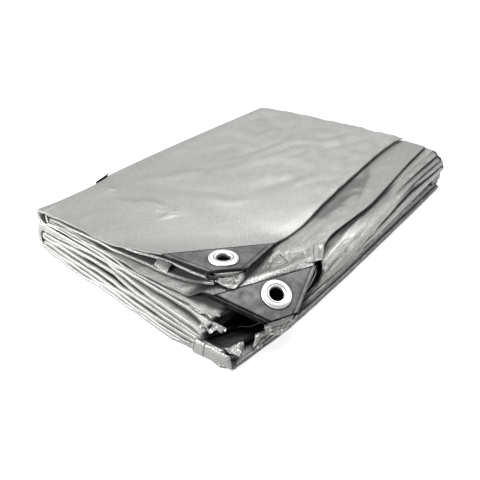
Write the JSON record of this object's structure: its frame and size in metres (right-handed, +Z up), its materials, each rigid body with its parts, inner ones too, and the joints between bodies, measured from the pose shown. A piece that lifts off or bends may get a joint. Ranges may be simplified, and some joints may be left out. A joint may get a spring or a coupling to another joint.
{
  "type": "folded tarp",
  "caption": "Silver grey woven plastic tarp folded into a flat pack, with dark plastic sleeves and bright eyelets on its free corners.",
  "frame": {"origin": "middle of the pack's base, on the surface that it lies on", "axes": "+X along the short side towards the free edges, +Y along the long side away from the free corners, +Z up"},
  "size_m": [0.264, 0.3532, 0.0515],
  "materials": {
    "woven_sheet": "woven polyethylene tapes with a thin glossy coat",
    "dark_plastic": "satin, slightly creased",
    "eyelet_metal": "pressed, bright"
  },
  "bodies": {
    "root": {"tarp": "woven_sheet", "corner_patch_1": "dark_plastic", "corner_patch_2": "dark_plastic", "corner_patch_3": "dark_plastic", "corner_patch_4": "dark_plastic", "eyelet_1": "eyelet_metal", "washer_1": "eyelet_metal", "eyelet_2": "eyelet_metal", "washer_2": "eyelet_metal"}
  },
  "joints": []
}
